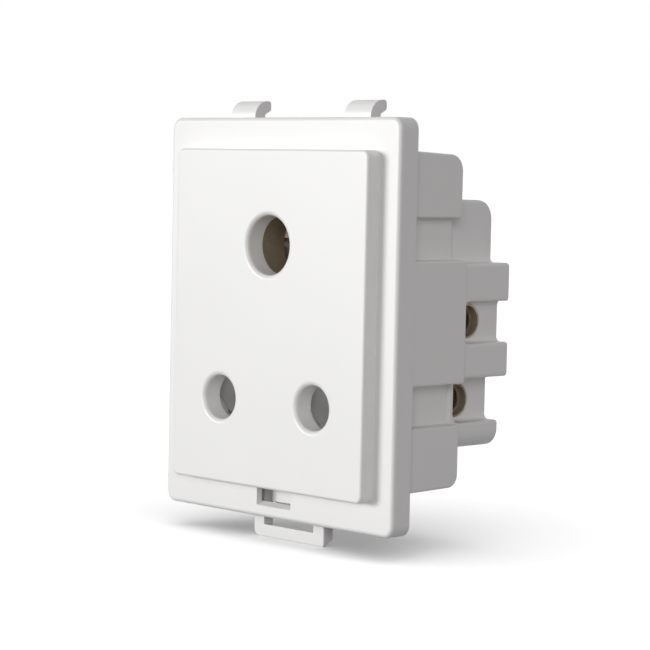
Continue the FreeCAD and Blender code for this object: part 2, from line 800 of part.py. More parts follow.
nodes = {
    "front_cover": front_cover(),
    "rear_housing": rear_housing(),
    "release_latch": release_latch(),
    "latch_spring": latch_spring(),
    "shutter": shutter(),
    "shutter_spring": shutter_spring(),
    "earth_sleeve": earth_sleeve(),
    "line_sleeve": line_sleeve(),
    "neutral_sleeve": mirrored(line_sleeve()),
    "earth_grip_ring": grip_ring(0, earth_z, earth_neck_radius, earth_ring_y),
    "line_grip_ring": grip_ring(line_x, pin_row_z, small_sleeve, small_ring_y),
    "neutral_grip_ring": grip_ring(-line_x, pin_row_z, small_sleeve, small_ring_y),
    "earth_terminal_block": earth_terminal_block(),
    "line_terminal_block": line_terminal_block(),
    "neutral_terminal_block": mirrored(line_terminal_block()),
    "earth_terminal_screw": earth_terminal_screw(),
    "line_terminal_screw": line_terminal_screw(),
    "neutral_terminal_screw": mirrored(line_terminal_screw()),
    "earth_strip": earth_strip(),
}
for name, spot in cover_screw_places().items():
    nodes["cover_screw_" + name] = cover_screw(*spot)

os.makedirs("parts", exist_ok=True)
for name, shape in nodes.items():
    print(name, shape.isValid(), len(shape.Solids), round(shape.Volume, 2))
    shape.exportStep("parts/" + name + ".step")
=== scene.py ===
"""Looks of the three-pin socket: finishes, wound springs, cut screws and the photograph's studio."""

import math

import bpy
from bpy.props import FloatProperty, FloatVectorProperty, IntProperty, PointerProperty
from mathutils import Matrix, Vector


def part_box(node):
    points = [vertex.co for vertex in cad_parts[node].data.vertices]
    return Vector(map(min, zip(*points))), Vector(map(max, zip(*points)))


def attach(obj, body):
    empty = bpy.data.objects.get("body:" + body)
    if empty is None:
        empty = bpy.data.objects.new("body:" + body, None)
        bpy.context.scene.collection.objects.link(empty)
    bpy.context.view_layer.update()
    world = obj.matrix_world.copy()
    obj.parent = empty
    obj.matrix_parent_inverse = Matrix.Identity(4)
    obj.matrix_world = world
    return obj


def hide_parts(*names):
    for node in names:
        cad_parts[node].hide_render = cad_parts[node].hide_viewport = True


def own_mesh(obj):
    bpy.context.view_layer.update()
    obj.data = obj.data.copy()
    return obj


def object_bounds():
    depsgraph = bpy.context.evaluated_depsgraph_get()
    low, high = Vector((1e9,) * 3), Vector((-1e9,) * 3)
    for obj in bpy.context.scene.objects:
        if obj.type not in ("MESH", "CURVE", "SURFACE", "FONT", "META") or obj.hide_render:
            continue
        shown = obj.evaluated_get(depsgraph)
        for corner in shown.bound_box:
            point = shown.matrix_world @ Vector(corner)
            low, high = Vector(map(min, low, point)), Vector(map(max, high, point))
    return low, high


bl_info = {
    "name": "Three-pin socket",
    "version": (1, 0, 0),
    "blender": (4, 5, 0),
    "location": "3D View > Sidebar > Socket",
    "description": "Dresses the socket's packed frame: finishes, springs, screws and a studio",
    "category": "Object",
}

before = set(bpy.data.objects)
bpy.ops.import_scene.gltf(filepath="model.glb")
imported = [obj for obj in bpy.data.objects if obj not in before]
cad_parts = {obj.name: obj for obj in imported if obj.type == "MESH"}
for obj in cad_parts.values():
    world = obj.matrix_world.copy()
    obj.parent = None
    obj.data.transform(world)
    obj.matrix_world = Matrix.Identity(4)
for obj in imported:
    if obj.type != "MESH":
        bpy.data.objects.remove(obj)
frame_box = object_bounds()

MM = 0.001
QUARTER_TURN = math.pi / 2
SIDES = ("earth", "line", "neutral")
MOULDINGS = ("front_cover", "rear_housing", "release_latch", "shutter")

# Degrees that each terminal screw's slot happens to be turned by.
SLOT_TURNS = {"earth": 35, "line": -20, "neutral": -20}

# Width in millimetres of the camera's sensor, on which the lens's focal length is given.
SENSOR_WIDTH = 36

# Fineness of the meshes: points along one turn of a coil, round its wire, along a grip ring and round
# a screw, and rows of faces along a screw's thread and head.
COIL_POINTS = 40
WIRE_POINTS = 12
RING_POINTS = 96
SCREW_POINTS = 48
THREAD_ROWS = 72
HEAD_ROWS = 8


def linear(code):
    """Linear colour, with alpha, of an sRGB hex code."""
    channels = [int(code[i:i + 2], 16) / 255 for i in (1, 3, 5)]
    return [c / 12.92 if c <= 0.04045 else ((c + 0.055) / 1.055) ** 2.4 for c in channels] + [1.0]


def plug(tree, node, inputs):
    """Gives a node's inputs, by name or number, a value or a link from a node or socket."""
    for key, value in inputs.items():
        if isinstance(value, bpy.types.Node):
            value = value.outputs[0]
        if isinstance(value, bpy.types.NodeSocket):
            tree.links.new(value, node.inputs[key])
        else:
            node.inputs[key].default_value = value


def add(tree, kind, inputs=None, **settings):
    """Adds a node with its settings and what goes into it."""
    node = tree.nodes.new(kind)
    for key, value in settings.items():
        setattr(node, key, value)
    plug(tree, node, inputs or {})
    return node


class FinishSettings(bpy.types.PropertyGroup):
    """Colours and grain of the real materials."""

    plastic: FloatVectorProperty(
        name="Plastic", description="Body colour of the white mouldings", subtype="COLOR", size=4,
        min=0, max=1, default=linear("#EBEBEA"))
    plastic_grain: FloatProperty(
        name="Mould grain", description="Size at which the mould's spark-eroded grain is drawn",
        unit="LENGTH", default=0.25 * MM, precision=5)
    brass: FloatVectorProperty(
        name="Brass", description="Colour of clean brass", subtype="COLOR", size=4,
        min=0, max=1, default=linear("#B3A48E"))
    tarnish: FloatVectorProperty(
        name="Tarnish", description="Colour of the brass where it has dulled", subtype="COLOR", size=4,
        min=0, max=1, default=linear("#8E8374"))
    saw_mark: FloatProperty(
        name="Saw marks", description="Distance between the lines left on the brass by cutting",
        unit="LENGTH", default=0.41 * MM, precision=5)
    wire: FloatVectorProperty(
        name="Spring steel", description="Colour of the springs' drawn wire", subtype="COLOR", size=4,
        min=0, max=1, default=linear("#A3A6A8"))
    plating: FloatVectorProperty(
        name="Zinc plating", description="Colour of the plated cover screws", subtype="COLOR", size=4,
        min=0, max=1, default=linear("#B9B7AC"))
    # Painted shade: this dark colour stands in for the shade deep in the terminal bores where the screws
    # sit.
    terminal_screw_shade: FloatVectorProperty(
        name="Terminal screw shade", description="Colour of the terminal screws' painted bore shade", subtype="COLOR", size=4,
        min=0, max=1, default=linear("#4A4038"))


class StageSettings(bpy.types.PropertyGroup):
    """Floor, light and the photograph's viewpoint."""

    floor: FloatVectorProperty(
        name="Floor", description="Colour of the studio floor to the eye", subtype="COLOR", size=4,
        min=0, max=1, default=linear("#FFFFFF"))
    floor_bounce: FloatVectorProperty(
        name="Floor bounce", description="Colour of the floor in the light that it throws back",
        subtype="COLOR", size=4, min=0, max=1, default=linear("#6C6C6C"))
    floor_glow: FloatProperty(
        name="Floor glow", description="White added to the floor where it is seen, which lights nothing",
        min=0, max=1, default=0.25)
    floor_reach: FloatProperty(
        name="Floor reach", description="Distance from the object to the floor's edge",
        unit="LENGTH", default=40.0)
    key: FloatProperty(
        name="Key light", description="Strength of the broad light from the front left",
        min=0, default=2.68)
    key_azimuth: FloatProperty(
        name="Key azimuth", description="Turn of the key light to the right of the front",
        unit="ROTATION", default=math.radians(-34))
    key_elevation: FloatProperty(
        name="Key elevation", description="Height of the key light above the horizon",
        unit="ROTATION", default=math.radians(5))
    key_spread: FloatProperty(
        name="Key spread", description="Angle that the key light fills, which softens its shadow",
        unit="ROTATION", default=math.radians(26))
    fill: FloatProperty(
        name="Fill light", description="Strength of the weak broad light from the front right",
        min=0, default=0.92)
    fill_azimuth: FloatProperty(
        name="Fill azimuth", description="Turn of the fill light to the right of the front",
        unit="ROTATION", default=math.radians(46))
    fill_elevation: FloatProperty(
        name="Fill elevation", description="Height of the fill light above the horizon",
        unit="ROTATION", default=math.radians(14))
    fill_spread: FloatProperty(
        name="Fill spread", description="Angle that the fill light fills, which softens its shadow",
        unit="ROTATION", default=math.radians(26))
    fill_colour: FloatVectorProperty(
        name="Fill colour", description="Colour of the fill light, a little warmer than the key",
        subtype="COLOR", min=0, max=1, default=linear("#FFFAFB")[:3])
    top: FloatProperty(
        name="Top light", description="Strength of the broad light overhead", min=0, default=0.22)
    top_azimuth: FloatProperty(
        name="Top azimuth", description="Turn of the top light to the right of the front",
        unit="ROTATION", default=math.radians(-25))
    top_elevation: FloatProperty(
        name="Top elevation", description="Height of the top light above the horizon",
        unit="ROTATION", default=math.radians(80))
    top_spread: FloatProperty(
        name="Top spread", description="Angle that the top light fills, which softens its shadow",
        unit="ROTATION", default=math.radians(80))
    wash: FloatProperty(
        name="Floor wash", description="Strength of the overhead light that falls on the floor",
        min=0, default=2.3)
    wash_azimuth: FloatProperty(
        name="Wash azimuth", description="Turn of the floor's light to the right of the front",
        unit="ROTATION", default=math.radians(30))
    wash_elevation: FloatProperty(
        name="Wash elevation", description="Height of the floor's light above the horizon",
        unit="ROTATION", default=math.radians(72))
    wash_spread: FloatProperty(
        name="Wash spread", description="Angle that the floor's light fills, which softens the shadow",
        unit="ROTATION", default=math.radians(100))
    surround: FloatProperty(
        name="Surround", description="Brightness of the studio around the object",
        min=0, default=0.15)
    azimuth: FloatProperty(
        name="Camera azimuth", description="Turn of the camera to the right of the front",
        unit="ROTATION", default=math.radians(45.371))
    elevation: FloatProperty(
        name="Camera elevation", description="Height of the camera above the horizon",
        unit="ROTATION", default=math.radians(3.765))
    roll: FloatProperty(
        name="Camera roll", description="Turn of the camera about its own axis",
        unit="ROTATION", default=math.radians(1.225))
    distance: FloatProperty(
        name="Camera distance", description="Distance from the camera to the point it aims at",
        unit="LENGTH", default=321.36 * MM)
    lens: FloatProperty(
        name="Lens", description="Focal length in millimetres on a 36 mm frame", default=124.99)
    aim_right: FloatProperty(
        name="Aim X", description="Point that the camera aims at, along X",
        unit="LENGTH", default=3.482 * MM)
    aim_back: FloatProperty(
        name="Aim Y", description="Point that the camera aims at, along Y",
        unit="LENGTH", default=2.723 * MM)
    aim_up: FloatProperty(
        name="Aim Z", description="Point that the camera aims at, along Z",
        unit="LENGTH", default=-0.789 * MM)


class SpringSettings(bpy.types.PropertyGroup):
    """Wire and turns of the two compression springs."""

    wire: FloatProperty(
        name="Wire", description="Thickness of the springs' wire",
        unit="LENGTH", default=0.4 * MM, precision=5)
    shutter_turns: IntProperty(
        name="Shutter turns", description="Turns of the shutter's spring, with its closed ends",
        default=7, min=3)
    latch_turns: IntProperty(
        name="Latch turns", description="Turns of the latch's spring, with its closed ends",
        default=6, min=3)


class ScrewSettings(bpy.types.PropertyGroup):
    """Threads and slots of the screws."""

    terminal_pitch: FloatProperty(
        name="Terminal pitch", description="Rise of the terminal screws' thread in one turn",
        unit="LENGTH", default=0.7 * MM, precision=5)
    terminal_depth: FloatProperty(
        name="Terminal thread", description="Depth of the terminal screws' thread",
        unit="LENGTH", default=0.3 * MM, precision=5)
    terminal_end: FloatProperty(
        name="Terminal end", description="Height of the plain end round the slot, in slot depths",
        min=1, default=1.25)
    cover_pitch: FloatProperty(
        name="Cover screw pitch", description="Rise of the cover screws' thread in one turn",
        unit="LENGTH", default=0.8 * MM, precision=5)
    cover_depth: FloatProperty(
        name="Cover screw thread", description="Depth of the cover screws' thread",
        unit="LENGTH", default=0.28 * MM, precision=5)
    slot_width: FloatProperty(
        name="Slot width", description="Width of the terminal screws' driver slots",
        unit="LENGTH", default=0.6 * MM, precision=5)
    slot_depth: FloatProperty(
        name="Slot depth", description="Depth of the terminal screws' driver slots",
        unit="LENGTH", default=0.8 * MM, precision=5)


def material(name):
    """New material with its tree and its shader."""
    made = bpy.data.materials.new(name)
    made.use_nodes = True
    return made, made.node_tree, made.node_tree.nodes["Principled BSDF"]


def mottled(tree, colour, pattern, darkest):
    """Colour that a pattern darkens here and there, at most to the darkest share of itself."""
    shade = add(tree, "ShaderNodeMapRange", {"Value": pattern, "From Min": 0.3, "From Max": 0.7,
                                             "To Min": darkest, "To Max": 1.0})
    mixed = add(tree, "ShaderNodeMix", {"Factor": 1.0, 6: list(colour), 7: shade},
                data_type="RGBA", blend_type="MULTIPLY")
    return mixed.outputs[2]


def moulded_polycarbonate():
    """Injection-moulded polycarbonate: the mould's fine spark-eroded grain breaks up reflections, so
    the eye sees an even satin white with broad soft highlights and faint flow shading, never a mirror
    image."""
    finish = bpy.context.scene.socket_finish
    made, tree, shader = material("moulded_polycarbonate")
    place = add(tree, "ShaderNodeTexCoord").outputs["Object"]
    flow_mark = 14 * MM
    flow = add(tree, "ShaderNodeTexNoise", {"Vector": place, "Scale": 1 / flow_mark, "Detail": 2.0})
    # The real grain is a few hundredths of a millimetre and too fine to show, so it is drawn coarser.
    grain = add(tree, "ShaderNodeTexNoise", {"Vector": place, "Scale": 1 / finish.plastic_grain,
                                             "Detail": 3.0})
    gloss = add(tree, "ShaderNodeMapRange", {"Value": grain, "From Min": 0.3, "From Max": 0.7,
                                             "To Min": 0.34, "To Max": 0.42})
    bump = add(tree, "ShaderNodeBump", {"Height": grain, "Distance": 0.006 * MM, "Strength": 0.6})
    colour = mottled(tree, finish.plastic, flow, darkest=0.985)
    plug(tree, shader, {"IOR": 1.585, "Base Color": colour, "Roughness": gloss, "Normal": bump})
    return made


def sawn_brass():
    """Free-cutting brass, extruded, sawn and turned: fine parallel cutting lines catch the light, and a
    dull film has grown unevenly over the metal, so it shows a matt brown gold with few bright glints."""
    finish = bpy.context.scene.socket_finish
    made, tree, shader = material("sawn_brass")
    place = add(tree, "ShaderNodeTexCoord").outputs["Object"]
    film_patch = 2.5 * MM
    film = add(tree, "ShaderNodeTexNoise", {"Vector": place, "Scale": 1 / film_patch, "Detail": 5.0})
    dull = add(tree, "ShaderNodeMapRange", {"Value": film, "From Min": 0.35, "From Max": 0.65})
    metal = add(tree, "ShaderNodeMapRange", {"Value": dull, "To Min": 0.55, "To Max": 0.3})
    gloss = add(tree, "ShaderNodeMapRange", {"Value": dull, "To Min": 0.42, "To Max": 0.62})
    colour = add(tree, "ShaderNodeMix", {"Factor": dull, 6: list(finish.brass),
                                         7: list(finish.tarnish)}, data_type="RGBA")
    # At a scale of 1, diagonal bands pass through 10 radians for each unit of x + y + z.
    bands = math.tau / (10 * math.sqrt(3) * finish.saw_mark)
    lines = add(tree, "ShaderNodeTexWave", {"Vector": place, "Scale": bands, "Distortion": 1.5,
                                            "Detail": 2.0, "Detail Scale": 2.0},
                wave_type="BANDS", bands_direction="DIAGONAL")
    bump = add(tree, "ShaderNodeBump", {"Height": lines.outputs["Fac"], "Distance": 0.01 * MM,
                                        "Strength": 0.5})
    plug(tree, shader, {"Metallic": metal, "Base Color": colour.outputs[2], "Roughness": gloss,
                        "Normal": bump})
    return made


def drawn_spring_steel():
    """Hard-drawn spring wire: the die leaves a smooth grey surface with streaks, so it glints along its
    length."""
    finish = bpy.context.scene.socket_finish
    made, tree, shader = material("drawn_spring_steel")
    place = add(tree, "ShaderNodeTexCoord").outputs["Object"]
    streak_size = 0.4 * MM
    streaks = add(tree, "ShaderNodeTexNoise", {"Vector": place, "Scale": 1 / streak_size, "Detail": 4.0})
    gloss = add(tree, "ShaderNodeMapRange", {"Value": streaks, "To Min": 0.22, "To Max": 0.4})
    colour = mottled(tree, finish.wire, streaks, darkest=0.78)
    plug(tree, shader, {"Metallic": 1.0, "Base Color": colour, "Roughness": gloss})
    return made


def coated_steel(name, colour, crystal_size, cloud_size, gloss_range):
    """Screw steel under a thin coat of crystals: each is smoothest in its middle, and clouds of them
    differ in tone. Real crystals are too fine to show, so they are drawn coarser."""
    made, tree, shader = material(name)
    place = add(tree, "ShaderNodeTexCoord").outputs["Object"]
    crystals = add(tree, "ShaderNodeTexVoronoi", {"Vector": place, "Scale": 1 / crystal_size})
    clouds = add(tree, "ShaderNodeTexNoise", {"Vector": place, "Scale": 1 / cloud_size, "Detail": 4.0})
    gloss = add(tree, "ShaderNodeMapRange", {"Value": crystals.outputs["Distance"],
                                             "To Min": gloss_range[0], "To Max": gloss_range[1]})
    clouded = mottled(tree, colour, clouds, darkest=0.7)
    plug(tree, shader, {"Metallic": 1.0, "Base Color": clouded, "Roughness": gloss})
    return made


def zinc_plating():
    """Zinc-plated steel with a clear passivation: a pale metal with small cloudy crystals, neither
    bright nor flat."""
    finish = bpy.context.scene.socket_finish
    return coated_steel("zinc_plating", finish.plating, crystal_size=0.5 * MM, cloud_size=1.2 * MM,
                        gloss_range=(0.28, 0.48))


def darkened_steel():
    """Terminal screw steel in a dark grey-brown that is painted shade for the deep terminal bores,
    with small crystals that give soft glints on its edges."""
    finish = bpy.context.scene.socket_finish
    return coated_steel("darkened_steel", finish.terminal_screw_shade, crystal_size=0.15 * MM,
                        cloud_size=0.9 * MM, gloss_range=(0.3, 0.5))


def spring_steel():
    """The springs' and grip rings' steel, made once."""
    return bpy.data.materials.get("drawn_spring_steel") or drawn_spring_steel()


def finish_nodes(names, made):
    """Gives CAD nodes a finish, on the material slots that they have."""
    for name in names:
        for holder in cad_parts[name].material_slots:
            holder.material = made


def new_tree(name, sizes):
    """Empty Geometry Nodes tree with named number inputs, a material input and a mesh output."""
    tree = bpy.data.node_groups.new(name, "GeometryNodeTree")
    for size in sizes:
        tree.interface.new_socket(size, in_out="INPUT", socket_type="NodeSocketFloat")
    tree.interface.new_socket("Finish", in_out="INPUT", socket_type="NodeSocketMaterial")
    tree.interface.new_socket("Mesh", in_out="OUTPUT", socket_type="NodeSocketGeometry")
    return tree, add(tree, "NodeGroupInput").outputs


def close_tree(tree, mesh, given):
    """Ends a tree with real geometry in its finish."""
    real = add(tree, "GeometryNodeRealizeInstances", {0: mesh})
    finished = add(tree, "GeometryNodeSetMaterial", {"Geometry": real, "Material": given["Finish"]})
    add(tree, "NodeGroupOutput", {0: finished})
    return tree


def grow(name, tree, values, turn=None, at=(0, 0, 0)):
    """Runs a tree and keeps what it makes as a plain mesh, turned and moved to its place."""
    piece = bpy.data.objects.new(name, bpy.data.meshes.new(name))
    bpy.context.scene.collection.objects.link(piece)
    modifier = piece.modifiers.new("grow", "NODES")
    modifier.node_group = tree
    for item in tree.interface.items_tree:
        if item.in_out == "INPUT":
            modifier[item.identifier] = values[item.name]
    graph = bpy.context.evaluated_depsgraph_get()
    mesh = bpy.data.meshes.new_from_object(piece.evaluated_get(graph), depsgraph=graph)
    piece.modifiers.remove(modifier)
    piece.data = mesh
    mesh.transform(Matrix.Translation(at) @ (turn or Matrix.Identity(4)))
    mesh.name = name
    return piece


def smooth(piece, edge_angle=35):
    """Smooth shading, apart from edges sharper than the angle in degrees."""
    mesh = piece.data
    mesh.shade_smooth()
    mesh.set_sharp_from_angle(angle=math.radians(edge_angle))


def seat(piece, node, body):
    """Puts a finished piece in a CAD node's stead."""
    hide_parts(node)
    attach(piece, body)


def spring_tree():
    """Compression spring on Z from 0 to its length: the first and last turns lie closed, and the rest
    rise evenly."""
    closed_turns = 2.0
    tree, given = new_tree("compression_spring", ("Radius", "Wire", "Length", "Turns"))
    count = add(tree, "ShaderNodeMath", {0: given["Turns"], 1: COIL_POINTS}, operation="MULTIPLY")
    # The line only brings the coil's points, each of which is then set to its own place.
    line = add(tree, "GeometryNodeMeshLine", {"Count": count, "Offset": (0, 0, MM)})
    path = add(tree, "GeometryNodeMeshToCurve", {0: line})
    index = add(tree, "GeometryNodeInputIndex")
    last = add(tree, "ShaderNodeMath", {0: count, 1: 1.0}, operation="SUBTRACT")
    share = add(tree, "ShaderNodeMath", {0: index, 1: last}, operation="DIVIDE")
    turned = add(tree, "ShaderNodeMath", {0: share, 1: given["Turns"]}, operation="MULTIPLY")

    # A closed turn rises by one wire, and an open one by the pitch that is left for it.
    first = add(tree, "ShaderNodeMath", {0: turned, 1: 0.0}, operation="ADD", use_clamp=True)
    open_turns = add(tree, "ShaderNodeMath", {0: given["Turns"], 1: closed_turns},
                     operation="SUBTRACT")
    past_first = add(tree, "ShaderNodeMath", {0: turned, 1: 1.0}, operation="SUBTRACT")
    rising = add(tree, "ShaderNodeClamp", {"Value": past_first, "Min": 0.0, "Max": open_turns})
    past_open = add(tree, "ShaderNodeMath", {0: past_first, 1: open_turns},
                    operation="SUBTRACT", use_clamp=True)
    flat = add(tree, "ShaderNodeMath", {0: first, 1: past_open}, operation="ADD")
    flat_rise = add(tree, "ShaderNodeMath", {0: flat, 1: given["Wire"]}, operation="MULTIPLY")
    stacked = add(tree, "ShaderNodeMath", {0: given["Wire"], 1: closed_turns + 1},
                  operation="MULTIPLY")
    free = add(tree, "ShaderNodeMath", {0: given["Length"], 1: stacked}, operation="SUBTRACT")
    pitch = add(tree, "ShaderNodeMath", {0: free, 1: open_turns}, operation="DIVIDE")
    open_rise = add(tree, "ShaderNodeMath", {0: rising, 1: pitch}, operation="MULTIPLY")
    rise = add(tree, "ShaderNodeMath", {0: flat_rise, 1: open_rise}, operation="ADD")
    half_wire = add(tree, "ShaderNodeMath", {0: given["Wire"], 1: 0.5}, operation="MULTIPLY")
    height = add(tree, "ShaderNodeMath", {0: rise, 1: half_wire}, operation="ADD")

    angle = add(tree, "ShaderNodeMath", {0: turned, 1: math.tau}, operation="MULTIPLY")
    cosine = add(tree, "ShaderNodeMath", {0: angle}, operation="COSINE")
    sine = add(tree, "ShaderNodeMath", {0: angle}, operation="SINE")
    across = add(tree, "ShaderNodeMath", {0: cosine, 1: given["Radius"]}, operation="MULTIPLY")
    along = add(tree, "ShaderNodeMath", {0: sine, 1: given["Radius"]}, operation="MULTIPLY")
    spot = add(tree, "ShaderNodeCombineXYZ", {0: across, 1: along, 2: height})
    coil = add(tree, "GeometryNodeSetPosition", {"Geometry": path, "Position": spot})
    section = add(tree, "GeometryNodeCurvePrimitiveCircle", {"Resolution": WIRE_POINTS,
                                                             "Radius": half_wire})
    wire = add(tree, "GeometryNodeCurveToMesh", {"Curve": coil, "Profile Curve": section,
                                                 "Fill Caps": True})
    return close_tree(tree, wire, given)


def ring_tree():
    """Split ring round Z from 0 to its width, bent from flat strip with rolled edges."""
    edge_share = 0.3
    tree, given = new_tree("split_ring", ("Radius", "Thickness", "Width", "Opening"))
    sweep = add(tree, "ShaderNodeMath", {0: math.tau, 1: given["Opening"]}, operation="SUBTRACT")
    half_gap = add(tree, "ShaderNodeMath", {0: given["Opening"], 1: 0.5}, operation="MULTIPLY")
    arc = add(tree, "GeometryNodeCurveArc", {"Resolution": RING_POINTS, "Radius": given["Radius"],
                                             "Start Angle": half_gap, "Sweep Angle": sweep})
    strip = add(tree, "GeometryNodeCurvePrimitiveQuadrilateral", {"Width": given["Thickness"],
                                                                   "Height": given["Width"]})
    rolled = add(tree, "ShaderNodeMath", {0: given["Thickness"], 1: edge_share},
                 operation="MULTIPLY")
    section = add(tree, "GeometryNodeFilletCurve", {"Curve": strip, "Count": 3, "Radius": rolled},
                  mode="POLY")
    ring = add(tree, "GeometryNodeCurveToMesh", {"Curve": arc, "Profile Curve": section,
                                                 "Fill Caps": True})
    half_width = add(tree, "ShaderNodeMath", {0: given["Width"], 1: 0.5}, operation="MULTIPLY")
    lift = add(tree, "ShaderNodeCombineXYZ", {2: half_width})
    raised = add(tree, "GeometryNodeTransform", {"Geometry": ring, "Translation": lift})
    return close_tree(tree, raised, given)


def screw_tree():
    """Slotted screw on Z: threaded from 0 to its length, with a head on top that is as wide as the
    thread or more."""
    lead_turns = 1.5
    tree, given = new_tree("slotted_screw", ("Radius", "Thread", "Pitch", "Length", "Head Radius",
                                             "Head Height", "Slot Width", "Slot Depth"))
    half_length = add(tree, "ShaderNodeMath", {0: given["Length"], 1: 0.5}, operation="MULTIPLY")
    core = add(tree, "GeometryNodeMeshCylinder", {"Vertices": SCREW_POINTS, "Side Segments": THREAD_ROWS,
                                                  "Radius": given["Radius"],
                                                  "Depth": given["Length"]})
    middle = add(tree, "ShaderNodeCombineXYZ", {2: half_length})
    shank = add(tree, "GeometryNodeTransform", {"Geometry": core, "Translation": middle})

    # The thread is a triangle wave that climbs by its pitch in one turn and fades out to the tip.
    position = add(tree, "GeometryNodeInputPosition")
    place = add(tree, "ShaderNodeSeparateXYZ", {0: position}).outputs
    turn = add(tree, "ShaderNodeMath", {0: place["Y"], 1: place["X"]}, operation="ARCTAN2")
    phase = add(tree, "ShaderNodeMath", {0: turn, 1: math.tau}, operation="DIVIDE")
    climbed = add(tree, "ShaderNodeMath", {0: place["Z"], 1: given["Pitch"]}, operation="DIVIDE")
    wave = add(tree, "ShaderNodeMath", {0: climbed, 1: phase}, operation="SUBTRACT")
    doubled = add(tree, "ShaderNodeMath", {0: wave, 1: 2.0}, operation="MULTIPLY")
    tooth = add(tree, "ShaderNodeMath", {0: doubled, 1: 1.0}, operation="PINGPONG")
    bare = add(tree, "ShaderNodeMath", {0: tooth, 1: given["Thread"]}, operation="MULTIPLY")
    lead = add(tree, "ShaderNodeMath", {0: climbed, 1: lead_turns}, operation="DIVIDE",
               use_clamp=True)
    blunt = add(tree, "ShaderNodeMath", {0: 1.0, 1: lead}, operation="SUBTRACT")
    taper = add(tree, "ShaderNodeMath", {0: blunt, 1: given["Thread"]}, operation="MULTIPLY")
    depth = add(tree, "ShaderNodeMath", {0: bare, 1: taper}, operation="MAXIMUM")
    reach = add(tree, "ShaderNodeMath", {0: given["Radius"], 1: depth}, operation="SUBTRACT")
    share = add(tree, "ShaderNodeMath", {0: reach, 1: given["Radius"]}, operation="DIVIDE")
    scale = add(tree, "ShaderNodeCombineXYZ", {0: share, 1: share, 2: 1.0})
    cut = add(tree, "ShaderNodeVectorMath", {0: position, 1: scale}, operation="MULTIPLY")
    threaded = add(tree, "GeometryNodeSetPosition", {"Geometry": shank, "Position": cut})

    # The head draws in towards its top.
    cap = add(tree, "GeometryNodeMeshCylinder", {"Vertices": SCREW_POINTS, "Side Segments": HEAD_ROWS,
                                                 "Radius": given["Head Radius"],
                                                 "Depth": given["Head Height"]})
    up = add(tree, "ShaderNodeMath", {0: place["Z"], 1: given["Head Height"]}, operation="DIVIDE")
    crown = add(tree, "ShaderNodeMapRange", {"Value": up, "From Min": 0.1, "From Max": 0.5,
                                             "To Min": 1.0, "To Max": 0.9},
                interpolation_type="SMOOTHSTEP")
    narrow = add(tree, "ShaderNodeCombineXYZ", {0: crown, 1: crown, 2: 1.0})
    domed = add(tree, "ShaderNodeVectorMath", {0: position, 1: narrow}, operation="MULTIPLY")
    rounded = add(tree, "GeometryNodeSetPosition", {"Geometry": cap, "Position": domed})
    top = add(tree, "ShaderNodeMath", {0: given["Length"], 1: given["Head Height"]}, operation="ADD")
    half_head = add(tree, "ShaderNodeMath", {0: given["Head Height"], 1: 0.5}, operation="MULTIPLY")
    head_middle = add(tree, "ShaderNodeMath", {0: top, 1: half_head}, operation="SUBTRACT")
    raised = add(tree, "ShaderNodeCombineXYZ", {2: head_middle})
    head = add(tree, "GeometryNodeTransform", {"Geometry": rounded, "Translation": raised})
    whole = add(tree, "GeometryNodeMeshBoolean", {}, operation="UNION", solver="EXACT")
    plug(tree, whole, {"Mesh 2": threaded})
    plug(tree, whole, {"Mesh 2": head})

    # The slot is cut by a bar longer than the head, half of it below the top.
    long = add(tree, "ShaderNodeMath", {0: given["Head Radius"], 1: 3.0}, operation="MULTIPLY")
    double = add(tree, "ShaderNodeMath", {0: given["Slot Depth"], 1: 2.0}, operation="MULTIPLY")
    size = add(tree, "ShaderNodeCombineXYZ", {0: long, 1: given["Slot Width"], 2: double})
    bar = add(tree, "GeometryNodeMeshCube", {"Size": size})
    at_top = add(tree, "ShaderNodeCombineXYZ", {2: top})
    slot = add(tree, "GeometryNodeTransform", {"Geometry": bar, "Translation": at_top})
    slotted = add(tree, "GeometryNodeMeshBoolean", {0: whole, "Mesh 2": slot},
                  operation="DIFFERENCE", solver="EXACT")
    return close_tree(tree, slotted, given)


class SOCKET_OT_mouldings(bpy.types.Operator):
    """Gives the cover, housing, latch and shutter their moulded plastic."""

    bl_idname = "socket.mouldings"
    bl_label = "Mouldings"

    def execute(self, context):
        finish_nodes(MOULDINGS, moulded_polycarbonate())
        return {"FINISHED"}


class SOCKET_OT_contacts(bpy.types.Operator):
    """Gives the sleeves, terminal blocks and earth strip their brass."""

    bl_idname = "socket.contacts"
    bl_label = "Contacts and terminals"

    def execute(self, context):
        names = [side + part for side in SIDES for part in ("_sleeve", "_terminal_block")]
        finish_nodes(names + ["earth_strip"], sawn_brass())
        return {"FINISHED"}


class SOCKET_OT_springs(bpy.types.Operator):
    """Winds the shutter's and the latch's springs at the length of their CAD nodes."""

    bl_idname = "socket.springs"
    bl_label = "Springs"

    def execute(self, context):
        settings = context.scene.socket_springs
        tree = spring_tree()
        for owner, turns in (("shutter", settings.shutter_turns), ("latch", settings.latch_turns)):
            node = owner + "_spring"
            low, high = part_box(node)
            centre, size = (low + high) / 2, high - low
            values = {"Radius": (size.x - settings.wire) / 2, "Wire": settings.wire,
                      "Length": size.z, "Turns": float(turns), "Finish": spring_steel()}
            coil = grow(owner + "_coil", tree, values, at=(centre.x, centre.y, low.z))
            smooth(coil, edge_angle=60)
            seat(coil, node, "socket")
            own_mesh(coil)
        return {"FINISHED"}


